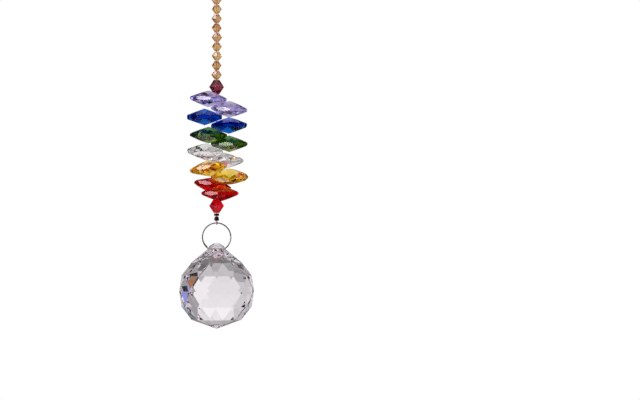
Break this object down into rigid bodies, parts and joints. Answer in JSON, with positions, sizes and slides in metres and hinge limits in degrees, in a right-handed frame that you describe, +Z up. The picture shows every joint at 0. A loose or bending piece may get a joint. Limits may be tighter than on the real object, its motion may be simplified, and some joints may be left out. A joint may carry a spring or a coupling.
{
  "type": "crystal suncatcher",
  "caption": "Hanging crystal suncatcher: a faceted glass ball on a ring below a thread of coloured octagon and bicone beads, with a ring to hang it by.",
  "frame": {"origin": "where a hook touches the top ring: the inside of the ring at its top, in the middle of the wire", "axes": "+Z up along the strand, -Y the front of the object, +X to the right seen from the front"},
  "size_m": [0.03, 0.03, 0.2078],
  "materials": {
    "clear_crystal": "clear cut lead glass, polished facets",
    "red_crystal": "red cut glass, polished facets",
    "amber_crystal": "amber cut glass, polished facets",
    "green_crystal": "dark green cut glass, polished facets",
    "blue_crystal": "sapphire blue cut glass, polished facets",
    "lavender_crystal": "lavender cut glass, polished facets",
    "purple_crystal": "dark purple-red cut glass, polished facets",
    "champagne_crystal": "champagne cut glass with a faint shimmer, polished facets",
    "dark_metal": "dark plated metal",
    "steel": "dark nickel-plated spring wire",
    "thread": "thin pinkish nylon thread"
  },
  "bodies": {
    "root": {"bead_champagne_01": "champagne_crystal", "bead_champagne_02": "champagne_crystal", "bead_champagne_03": "champagne_crystal", "bead_champagne_04": "champagne_crystal", "bead_champagne_05": "champagne_crystal", "bead_champagne_06": "champagne_crystal", "bead_champagne_07": "champagne_crystal", "bead_champagne_08": "champagne_crystal", "bead_champagne_09": "champagne_crystal", "bead_champagne_10": "champagne_crystal", "bead_champagne_11": "champagne_crystal", "bead_champagne_12": "champagne_crystal", "bead_champagne_13": "champagne_crystal", "bead_champagne_14": "champagne_crystal", "bead_champagne_15": "champagne_crystal", "bead_champagne_16": "champagne_crystal", "bead_champagne_17": "champagne_crystal", "bead_champagne_18": "champagne_crystal", "bead_champagne_19": "champagne_crystal", "bead_champagne_20": "champagne_crystal", "bead_champagne_21": "champagne_crystal", "bead_champagne_22": "champagne_crystal", "bead_champagne_23": "champagne_crystal", "bead_champagne_24": "champagne_crystal", "bead_purple": "purple_crystal", "bead_red": "red_crystal", "collar_bottom": "dark_metal", "collar_top": "dark_metal", "crystal_ball": "clear_crystal", "knot_bottom": "dark_metal", "knot_top": "dark_metal", "octagon_amber_1": "amber_crystal", "octagon_amber_2": "amber_crystal", "octagon_blue_1": "blue_crystal", "octagon_blue_2": "blue_crystal", "octagon_clear_1": "clear_crystal", "octagon_clear_2": "clear_crystal", "octagon_green_1": "green_crystal", "octagon_green_2": "green_crystal", "octagon_lavender_1": "lavender_crystal", "octagon_lavender_2": "lavender_crystal", "octagon_red_1": "red_crystal", "octagon_red_2": "red_crystal", "ring_bottom": "steel", "ring_top": "steel", "thread": "thread"}
  },
  "joints": []
}
